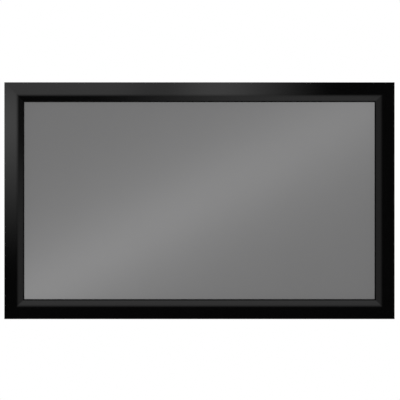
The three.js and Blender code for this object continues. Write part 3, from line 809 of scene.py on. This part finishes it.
# %% Clip section
CLIP_WALL = 2 * MM
CLIP_TAIL = 5 * MM
CLIP_WRAP = 62
JAW_IN = SLEEVE_R + RUN_CLEAR
JAW_OUT = JAW_IN + CLIP_WALL
ARM_FRONT = GROOVE_FRONT + RUN_CLEAR
ARM_REAR = GROOVE_FRONT + GROOVE_MOUTH - RUN_CLEAR
HEEL_FROM, HEEL_TO = BOX_W + RUN_CLEAR, RIB_TIP - WALL - RUN_CLEAR
HEEL_REAR = GROOVE_REAR - RUN_CLEAR
WEB_SIZE = 3.5 * MM
PLAIN_CORNER = 0.9 * MM


def clip_outline(web):
    """Round the arm, up to the jaw, round its outside and inside, and back along the tail."""
    tangent = fold_angle(SLEEVE_R, FLAP_BACK)
    middle = (JAW_IN + JAW_OUT) / 2
    tip_r = CLIP_WALL / 2
    brow_at = 180 + CLIP_WRAP
    brow = spot(ROD_AT, middle, brow_at)
    tip = spot(spot(ROD_AT, middle, tangent), CLIP_TAIL, tangent - 90)
    saddle_left = ROD_IN - JAW_OUT
    saddle_meets = math.degrees(math.acos(JAW_IN / JAW_OUT))
    return np.concatenate([
        [(HEEL_FROM, ARM_FRONT), (saddle_left - web, ARM_FRONT), (saddle_left, ARM_FRONT - web)],
        arc(ROD_AT, JAW_OUT, 180, brow_at, 8),
        arc(brow, tip_r, brow_at, brow_at + 180, 6)[1:-1],
        arc(ROD_AT, JAW_IN, brow_at, tangent, 20),
        arc(tip, tip_r, tangent - 180, tangent, 6),
        arc(ROD_AT, JAW_OUT, tangent, saddle_meets, 2),
        [(ROD_IN + JAW_IN, ARM_REAR), (HEEL_TO, ARM_REAR), (HEEL_TO, HEEL_REAR), (HEEL_FROM, HEEL_REAR)],
    ])


print("clip section:", len(clip_outline(PLAIN_CORNER)), "points")

# %% [markdown]
# The webs could be wedges of their own, but the real clip is one moulding. The section stays the same
# along it apart from the webs, so two of its points move out and back at each of them.

# %% Clips
WEB_PLACES = np.array([-2, 0, 2]) / 3
WEB_W = 1.6 * MM
WEB_FOOT = 0.62 * WEB_W
MOULD_ROUND = 0.3 * MM
CLIP_EDGE = 0.4 * MM


def clip(side, number):
    """The plain section or, where the distance to the nearest web's middle is small, the webbed one."""
    source = f"tension_clip_{side}_{number:02d}"
    half, centre = half_along(side, source), middle_along(side, source)
    webs = WEB_PLACES * half
    plain, webbed = (
        eased(anticlockwise(clip_outline(corner)), MOULD_ROUND) for corner in (PLAIN_CORNER, WEB_SIZE)
    )
    edges = np.concatenate([webs + step for step in (-WEB_FOOT, -WEB_W / 2, WEB_W / 2, WEB_FOOT)])
    shape = carried(
        lambda run: [webbed if np.abs(webs - run).min() < (WEB_W / 2 + WEB_FOOT) / 2 else plain],
        -half, half, lambda u, v, run: on_side(side, run + centre, u, v), edge=CLIP_EDGE, extra=edges,
    )
    return piece(f"{side}_clip_{number:02d}", source, shape, clip_plastic)


clips = [
    clip(side, number)
    for side in SIDES
    for number in range(1, 99)
    if f"tension_clip_{side}_{number:02d}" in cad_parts
]
print("clips:", len(clips), "of", len(clips[0].data.polygons), "faces")

# %% [markdown]
# ## Corner elbows and set screws
#
# Each corner is held by a flat steel L that slides in the rails' rear channels. It is zinc plated:
# bright, slightly blue, with a faint cloudy grain.

# %% Zinc plate
zinc = finish("zinc_plate", (0.56, 0.58, 0.61), 0.32, metallic=1.0)
vary_colour(zinc, noise(zinc, 220, 5, distortion=0.6), (0.46, 0.48, 0.51), (0.66, 0.68, 0.71))
vary_roughness(zinc, noise(zinc, 70, 5), 0.24, 0.42)
relief(zinc, noise(zinc, 700, 3, (1, 1, 0.15)), 0.015 * MM)
print("elbow finish:", zinc.name)

# %% [markdown]
# The L is blanked from plate, and a set screw in each leg jacks it against the channel's rear lips.
# The screws' holes are loops of the section, so that no Boolean has to cut them.

# %% Elbows
ELBOW_NEAR = WALL + RUN_CLEAR
ELBOW_FAR = BOX_W - WALL - RUN_CLEAR
ELBOW_ROUND = 6 * MM
ELBOW_EDGE = 0.35 * MM
SCREW_CLEAR = 0.2 * MM
CORNERS = {"top_left": (-1, 1), "top_right": (1, 1), "bottom_right": (1, -1), "bottom_left": (-1, -1)}


def at_corner(across, up, from_side, from_level, y):
    """The place that far in from the corner's upright and level outer edges."""
    x, z = across * (HALF_W - from_side), up * (HALF_H - from_level)
    return np.stack(np.broadcast_arrays(x, y, z), axis=-1)


def elbow(corner):
    """The L's outline with its two screw holes, carried through the plate's thickness."""
    across, up = CORNERS[corner]
    low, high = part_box(f"corner_elbow_{corner}")
    near, far = ELBOW_NEAR + ELBOW_ROUND, ELBOW_FAR - ELBOW_ROUND
    end = high.x - low.x + ELBOW_NEAR - ELBOW_ROUND
    outline = np.concatenate([
        arc((near, near), ELBOW_ROUND, 180, 270, 8),
        arc((end, near), ELBOW_ROUND, 270, 360, 8),
        arc((end, far), ELBOW_ROUND, 0, 90, 8),
        [(ELBOW_FAR, ELBOW_FAR)],
        arc((far, end), ELBOW_ROUND, 0, 90, 8),
        arc((near, end), ELBOW_ROUND, 90, 180, 8),
    ])
    holes = []
    for way in ("level", "upright"):
        a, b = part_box(f"set_screw_{corner}_{way}")
        centre = (HALF_W - across * (a.x + b.x) / 2, HALF_H - up * (a.z + b.z) / 2)
        holes.append(arc(centre, (b.x - a.x) / 2 + SCREW_CLEAR, 0, -360, 32)[:-1])
    shape = carried(
        [outline, *holes], low.y, high.y,
        lambda u, v, run: at_corner(across, up, u, v, run), edge=ELBOW_EDGE,
    )
    return piece(f"{corner}_elbow", f"corner_elbow_{corner}", shape, zinc)


elbows = [elbow(corner) for corner in CORNERS]
print("elbows:", [made.name for made in elbows])

# %% [markdown]
# Screws are turned steel, blackened. A turned piece is a grid of angle and height, with a radius for
# each place. Blender's Screw modifier could spin a profile, but only an array can change its radius
# with the angle, as a thread or a socket does.

# %% Turned steel
black_oxide = finish("black_oxide_steel", (0.030, 0.031, 0.034), 0.38, metallic=0.85)
vary_colour(black_oxide, noise(black_oxide, 300, 4), (0.020, 0.021, 0.023), (0.045, 0.046, 0.050))
vary_roughness(black_oxide, noise(black_oxide, 150, 4), 0.30, 0.48)
relief(black_oxide, noise(black_oxide, 1500, 2), 0.01 * MM)


def turned(name, source, angle, rows, pole_heights):
    """Rows of points round the middle of the node's box, closed by two poles. Each row, or block of rows,
    has a radius and a height, which may differ from angle to angle."""
    low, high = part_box(source)
    x, z = (low.x + high.x) / 2, (low.z + high.z) / 2
    blocks = [np.broadcast_arrays(np.atleast_2d(radius), height, angle)[:2] for radius, height in rows]
    radii, heights = (np.vstack(part) for part in zip(*blocks))
    ring = np.stack([x + radii * np.cos(angle), low.y + heights, z + radii * np.sin(angle)], axis=-1)
    poles = [(x, low.y + height, z) for height in pole_heights]
    faces = quads(*radii.shape)
    here = np.arange(angle.size)
    there = (here + 1) % angle.size
    for first, pole in ((0, radii.size), (radii.size - angle.size, radii.size + 1)):
        faces += np.stack([here + first, there + first, np.full_like(here, pole)], axis=-1).tolist()
    shape = np.concatenate([ring.reshape(-1, 3), poles]), faces, None
    return piece(name, source, shape, black_oxide)


print("screw finish:", black_oxide.name)

# %% [markdown]
# A set screw's thread is a real helix: the radius drops into the thread's valley by how far the height
# has moved on against the turn. Its socket is a hexagon, whose radius at an angle is its half width
# over a cosine.

# %% Set screws
THREAD_PITCH = 1.0 * MM
THREAD_DEPTH = 0.5 * MM
PLAIN_END = 0.9 * MM
TIP_CHAMFER = 1.2 * MM
TIP_DISH = 0.3 * MM
TOP_PLAIN = 0.7 * MM
TOP_CHAMFER = 0.5 * MM
HEX_ACROSS = 3 * MM
HEX_DEPTH = 3.5 * MM
HEX_EASE = 0.15 * MM
HEX_DRILL = 0.5 * MM


def set_screw(corner, way):
    """Rows from the tip to the socket's floor, each with a radius and a height for every angle."""
    source = f"set_screw_{corner}_{way}"
    low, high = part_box(source)
    radius, length = (high.x - low.x) / 2, high.y - low.y
    angle = np.linspace(0, 2 * math.pi, 36, endpoint=False)
    height = np.linspace(TIP_CHAMFER, length - TOP_PLAIN, 54)[:, None]
    phase = (height / THREAD_PITCH - angle / (2 * math.pi)) % 1.0
    valley = THREAD_DEPTH * (1 - 2 * np.abs(phase - 0.5))
    from_end = np.minimum(height, length - height) - PLAIN_END
    fade = np.clip(from_end / THREAD_PITCH, 0, 1)
    thread = radius - valley * fade
    hexagon = HEX_ACROSS / 2 / np.cos((angle % (math.pi / 3)) - math.pi / 6)
    floor = length - HEX_DEPTH
    rows = [
        (0.5 * radius, TIP_DISH), (radius - TIP_CHAMFER, 0), (thread, height),
        (radius - TOP_CHAMFER, length), (hexagon + HEX_EASE, length), (hexagon, length - HEX_EASE),
        (hexagon, floor), (0.6 * hexagon, floor - HEX_DRILL),
    ]
    poles = (TIP_DISH, floor - 1.2 * HEX_DRILL)
    return turned(f"{corner}_{way}_set_screw", source, angle, rows, poles)


set_screws = [set_screw(corner, way) for corner in CORNERS for way in ("level", "upright")]
print("set screws:", len(set_screws), "of", len(set_screws[0].data.polygons), "faces")

# %% [markdown]
# ## Centre brace
#
# A flat tube stands behind the fabric's middle and stops the long rails bowing in under the
# fabric's pull. Its moulded ends hook into the rails' grooves, and a screw holds the tube on each.
# They are plain enough to take from the construction model as they are, with rounded edges.

# %% Centre brace
brace = eased_copy("brace_tube", "brace_bar", brace_coat, 0.25 * MM)
brace_ends = [
    eased_copy(
        f"{level}_brace_fitting", f"brace_end_{level}", clip_plastic, 0.35 * MM
    )
    for level in LEVELS
]
print("brace:", brace.name, [made.name for made in brace_ends])

# %% [markdown]
# The brace's screws are plain pan heads with a cross recess. The head is a dome on a grid of radius
# and angle, and the recess is how much lower a place lies the nearer it is to either slot's line.

# %% Brace screws
SHANK_R = 1.5 * MM
SHANK_CHAMFER = 0.6 * MM
HEAD_T = 1.4 * MM
HEAD_DOME = 0.72
CROSS_HALF = 0.45 * MM
CROSS_REACH = 1.9 * MM
CROSS_END = 0.4 * MM
CROSS_DEPTH = 0.9 * MM


def brace_screw(level):
    """A domed head over a plain shank. The head's height is its thickness times the root of 1 - 0.72 times
    the share of the radius squared, less the depth of the cross."""
    source = f"brace_screw_{level}"
    low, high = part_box(source)
    head_r, length = (high.x - low.x) / 2, high.y - low.y
    angle = np.linspace(0, 2 * math.pi, 72, endpoint=False)
    crown = np.linspace(1, 0.03, 26)[:, None]
    rise = HEAD_T * np.sqrt(1 - HEAD_DOME * crown**2)
    radius = head_r * crown
    x, z = radius * np.cos(angle), radius * np.sin(angle)
    slot = np.clip(1.5 - np.minimum(np.abs(x), np.abs(z)) / CROSS_HALF, 0, 1)
    slot = slot * np.clip((CROSS_REACH - np.maximum(np.abs(x), np.abs(z))) / CROSS_END, 0, 1)
    base = length - HEAD_T
    dome = base + rise - CROSS_DEPTH * slot
    rows = [(0.2 * SHANK_R, 0), (SHANK_R, SHANK_CHAMFER), (SHANK_R, base), (head_r, base), (radius, dome)]
    return turned(f"{level}_brace_screw", source, angle, rows, (0, dome[-1].mean()))


brace_screws = [brace_screw(level) for level in LEVELS]
print("brace screws:", [made.name for made in brace_screws])

# %% [markdown]
# ## Hanging brackets and wall pads
#
# The brackets are folded from steel plate and powder coated in a fine black texture. They keep the
# construction model's shape, because its folds and slots are what the mounts were measured on, and
# only the burr is taken off every edge.

# %% Brackets
bracket_coat = finish("textured_black_coat", (0.012, 0.012, 0.013), 0.52)
vary_colour(bracket_coat, noise(bracket_coat, 500, 4), (0.009, 0.009, 0.010), (0.018, 0.018, 0.019))
vary_roughness(bracket_coat, noise(bracket_coat, 200, 4), 0.46, 0.62)
relief(bracket_coat, noise(bracket_coat, 1100, 3), 0.06 * MM)

HANDS = ("left", "right")
brackets = [
    eased_copy(
        f"{level}_{hand}_bracket", f"wall_bracket_{level}_{hand}", bracket_coat, 0.3 * MM
    )
    for level in LEVELS
    for hand in HANDS
]
print("brackets:", [made.name for made in brackets])

# %% [markdown]
# The pads are small rubber buttons with rounded rims that hold the side rails as far from the wall as
# the brackets do. A stretched cylinder would have an oval rim, so the outline is two half circles.
# Moulded rubber is matt, and a little dust on it varies its grey.

# %% Wall pads
rubber = finish("black_rubber", (0.014, 0.014, 0.014), 0.82)
vary_colour(rubber, noise(rubber, 400, 5), (0.011, 0.011, 0.011), (0.020, 0.020, 0.019))
relief(rubber, noise(rubber, 1300, 3), 0.05 * MM)
PAD_EDGE = 0.7 * MM


def pad(level, hand):
    """A stadium outline carried through the pad's thickness."""
    source = f"wall_pad_{level}_{hand}"
    low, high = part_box(source)
    half_w = (high.x - low.x) / 2
    x, z = (low.x + high.x) / 2, (low.z + high.z) / 2
    straight = (high.z - low.z) / 2 - half_w
    outline = np.concatenate([
        arc((0, straight), half_w, 0, 180, 14),
        arc((0, -straight), half_w, 180, 360, 14),
    ])
    shape = carried(
        [outline], low.y, high.y,
        lambda u, v, run: np.stack([x + u, run, z + v], axis=-1), edge=PAD_EDGE, edge_steps=5,
    )
    return piece(f"{level}_{hand}_pad", source, shape, rubber)


pads = [pad(level, hand) for level in LEVELS for hand in HANDS]
print("pads:", [made.name for made in pads])

# %% [markdown]
# ## Background
#
# The picture's background is pure white. The world is white for camera, glossy and transmission
# rays and a soft grey for the light it gives. For glossy rays only the half behind the object is
# white: a photographer keeps the side that a black frame mirrors dark. There, straight ahead is
# nearly black, for the flats, and it grows lighter towards each side, for the bevels. Each bevel
# leans by about 29 degrees and so looks 58 degrees aside: the lower one up, the left one right.

# %% World
BEHIND = 1.0
BEHIND_FULL = 0.3
IN_FRONT = 0.004
AMBIENT = 1.0
ASIDE_STARTS = 0.05
ASIDE_FULL = 0.74
SEEN_UP, SEEN_LEFT, SEEN_RIGHT = 0.73, 0.34, 0.05

world = bpy.data.worlds.new("studio")
bpy.context.scene.world = world
world.use_nodes = True
tree = world.node_tree
tree.nodes.clear()

direction = add(tree, "ShaderNodeSeparateXYZ", add(tree, "ShaderNodeTexCoord")["Generated"])
aside = 0.0
for part, sign, level in (("Z", 1, SEEN_UP), ("X", -1, SEEN_LEFT), ("X", 1, SEEN_RIGHT)):
    sine = maths(tree, "MULTIPLY", direction[part], sign)
    aside = maths(tree, "ADD", aside, eased_range(tree, sine, ASIDE_STARTS, ASIDE_FULL, 0.0, level))
behind = add(tree, "ShaderNodeMapRange", direction["Y"], 0.0, BEHIND_FULL, IN_FRONT, BEHIND)[0]

path = add(tree, "ShaderNodeLightPath")
mirrored = maths(tree, "MAXIMUM", path["Is Glossy Ray"], path["Is Transmission Ray"])
shown = maths(tree, "MAXIMUM", path["Is Camera Ray"], mirrored)
level = maths(tree, "MAXIMUM", maths(tree, "MAXIMUM", behind, aside), path["Is Camera Ray"])
ambient = add(tree, "ShaderNodeBackground", (1, 1, 1, 1), AMBIENT)[0]
backdrop = add(tree, "ShaderNodeBackground", (1, 1, 1, 1), level)[0]
add(tree, "ShaderNodeOutputWorld", add(tree, "ShaderNodeMixShader", shown, ambient, backdrop)[0])
print("world nodes:", len(tree.nodes))

# %% [markdown]
# ## Floor
#
# The object hangs, so the pale floor is a disc well below it. A plane without end would draw a horizon
# behind the object, so the disc's edge fades out.

# %% Floor
FLOOR_DROP = 1.0
FLOOR_R = 2.4
FLOOR_FULL_R = 0.55 * FLOOR_R
FLOOR_BACK = 1.5

floor_paint = finish("pale_floor", (0.80, 0.80, 0.79), 0.8)
vary_colour(floor_paint, noise(floor_paint, 3, 4), (0.78, 0.78, 0.77), (0.82, 0.82, 0.81))


def fade_out(material, centre, inner, outer):
    """Opaque inside `inner`, clear past `outer`, by the distance from the centre on Object coordinates."""
    tree = material.node_tree
    place = add(tree, "ShaderNodeTexCoord")["Object"]
    reach = add(tree, "ShaderNodeVectorMath", place, centre, operation="DISTANCE")["Value"]
    seen, clear = principled(material).outputs[0], add(tree, "ShaderNodeBsdfTransparent")[0]
    mixed = add(tree, "ShaderNodeMixShader", eased_range(tree, reach, inner, outer), seen, clear)[0]
    tree.links.new(mixed, tree.nodes["Material Output"].inputs["Surface"])


floor_z = cad_low.z - FLOOR_DROP
fade_out(floor_paint, (0, FLOOR_BACK, floor_z), FLOOR_FULL_R, FLOOR_R)
rim = arc((0, FLOOR_BACK), FLOOR_R, 0, 360, 96)[:-1]
floor_mesh = bpy.data.meshes.new("floor")
floor_mesh.from_pydata([(x, y, floor_z) for x, y in rim], [], [list(range(len(rim)))])
floor_mesh.materials.append(floor_paint)
placed("floor", floor_mesh)
print("floor at", round(floor_z, 3))

# %% [markdown]
# ## Lights
#
# A flat black face is a mirror: it shows whatever stands where the line of sight bounces to. The
# world already lights the bevels that are evenly lit, and lamps give the rest. Each is a softbox, a
# rectangle whose light can fade towards its edges, and light linking keeps it to the piece it is for.

# %% Softboxes
def fade_edges(lamp, left, right, bottom, top):
    """The light falls smoothly to nothing over these shares of the lamp's own width and height."""
    lamp.use_nodes = True
    tree = lamp.node_tree
    place = add(tree, "ShaderNodeSeparateXYZ", add(tree, "ShaderNodeNewGeometry")["Parametric"])
    level = 1.0
    for axis, edge, share in (("X", 0, left), ("X", 1, right), ("Y", 0, bottom), ("Y", 1, top)):
        if share:
            faded = eased_range(tree, place[axis], edge, abs(edge - share))
            level = maths(tree, "MULTIPLY", level, faded)
    tree.links.new(level, tree.nodes["Emission"].inputs["Strength"])


def softbox(name, at, towards, width, height, radiance, roll=0.0, fades=None, only=None):
    """A rectangular area lamp. Its power is pi times its area times the radiance that it shows unfaded."""
    lamp = bpy.data.lights.new(name, "AREA")
    lamp.shape = "RECTANGLE"
    lamp.size = width
    lamp.size_y = height
    lamp.energy = math.pi * width * height * radiance
    if fades:
        fade_edges(lamp, *fades)
    thing = placed(name, lamp)
    thing.location = at
    thing.rotation_euler = (Vector(towards) - Vector(at)).to_track_quat("-Z", "Y").to_euler()
    thing.rotation_euler.rotate_axis("Z", math.radians(roll))
    if only:
        group = bpy.data.collections.new(f"{name} lights")
        group.objects.link(only)
        thing.light_linking.receiver_collection = group
    return thing


print("a square metre that shows as 1 takes", round(math.pi, 2), "watts")

# %% [markdown]
# The highlights on the flats of the left and top rails are softboxes in front, called keys. A key is
# given by the stretch of its plane that it covers. That plane faces the frame, and a place on the
# flats shows the place on it that is as far across, but for the little that the camera's own distance
# adds. The nearer the plane, the longer a key still shows in the turn between flat and slope. The two
# keys for the top rail hang one behind the other, because a ray that meets two lamps in one plane
# would count only one of them.

# %% Keys
def key(name, side, away, across, up, radiance, fades):
    """A softbox for one rail, over the stretch `across` by `up` of the plane that far in front. The
    fades are in metres, from the left, right, bottom and top."""
    wide, high = across[1] - across[0], up[1] - up[0]
    shares = (np.array(fades) / (wide, wide, high, high)).tolist()
    at = Vector((sum(across) / 2, FRONT_Y - away, sum(up) / 2))
    ahead = (at.x, FRONT_Y, at.z)
    return softbox(name, at, ahead, wide, high, radiance, fades=shares, only=rails[side])


keys = [
    key("left key", "left", 1.0, (-2.0, 0.01), (-0.384, 0.938), 1.96, (0, 1.1, 1.196, 0.622)),
    key("upper left key", "top", 1.0, (-1.8, -0.107), (-0.27, 1.3), 0.87, (0, 0.383, 0.85, 0)),
    key("upper middle key", "top", 0.9, (-0.493, 0.72), (-0.25, 1.3), 1.33, (0.709, 0.785, 0.8, 0)),
]
print("keys, watts:", [(lamp.name, round(lamp.data.energy, 2)) for lamp in keys])

# %% [markdown]
# The bevels of the same two rails grow lighter along their length, which the world can't do, because
# it is as far away for every place. So a lamp stands where each of them looks, fades along the rail,
# and reaches towards straight ahead, where the turn between bevel and flat looks.

# %% Bevel lights
SEEN_ASIDE = math.radians(2 * bevel_slope())
BEVEL_IN = FACE_W - 12 * MM
BEVEL_LAMP_AWAY = 4.5
BEVEL_LAMP_NEAR, BEVEL_LAMP_FAR = 5.0, 1.7
BEVEL_LAMP_WIDE = BEVEL_LAMP_NEAR + BEVEL_LAMP_FAR
BEVEL_LAMP_FADE = 0.63


def bevel_lamp(name, side, start, full, end, radiance):
    """A softbox square on to the line from the top or left bevel to what it looks at. Along the side its
    light grows from `start` to `full` and goes on to `end`. Towards straight ahead it fades, so that the
    flats don't show it."""
    long = abs(end - start)
    bevel = Vector(on_side(side, (start + end) / 2, BEVEL_IN, 0).tolist())
    aside = Vector((0, 0, -1) if side == "top" else (1, 0, 0))
    front = Vector((0, -1, 0))
    ahead = aside * math.sin(SEEN_ASIDE) + front * math.cos(SEEN_ASIDE)
    nearer = front * math.sin(SEEN_ASIDE) - aside * math.cos(SEEN_ASIDE)
    at = bevel + BEVEL_LAMP_AWAY * ahead + (BEVEL_LAMP_NEAR - BEVEL_LAMP_FAR) / 2 * nearer
    size, fades = (long, BEVEL_LAMP_WIDE), (abs(full - start) / long, 0, 0, BEVEL_LAMP_FADE)
    if side == "left":
        size, fades = size[::-1], fades[::-1]
    return softbox(name, at, at - ahead, *size, radiance, fades=fades, only=rails[side])


bevel_lamp("low", "top", start=-0.70, full=0.38, end=3.0, radiance=0.57)
bevel_lamp("right side", "left", start=0.42, full=0.02, end=-2.2, radiance=0.31)
print("bevels look aside by", round(math.degrees(SEEN_ASIDE), 1), "degrees")

# %% [markdown]
# The fabric's coat is rough, so a lamp shows in it as a soft glow only where it is near. A long narrow
# strip close in front, tilted like the picture's diagonal and graded along its length, gives the
# band. Two plain fills stand behind, for whoever looks at the back.

# %% Fabric strip and rear light
BAND_TILT = math.degrees(math.atan2(HALF_H - FACE_W, HALF_W - FACE_W))
BAND_AWAY = 0.44
BAND_LONG, BAND_WIDE = 7.0, 0.2
BAND_ALONG = 1.86
BAND_X, BAND_Z = spot((0, 0), BAND_ALONG, BAND_TILT).tolist()
softbox(
    "fabric strip", (BAND_X, fabric_low.y - BAND_AWAY, BAND_Z), (BAND_X, 0, BAND_Z),
    BAND_LONG, BAND_WIDE, 1.86, roll=BAND_TILT, fades=(0, 1, 0, 0), only=fabric,
)
softbox("rear fill", (1.8, 3.2, 1.8), (0, 0, 0), 2.0, 1.4, 1.6)
softbox("rear side fill", (-2.6, 2.4, 0.4), (0, 0, 0), 1.0, 2.0, 0.9)

# %% [markdown]
# ## Closing
#
# The look is kept to the model's own view transform.

# %% Closing
bpy.context.scene.view_settings.view_transform = "Standard"
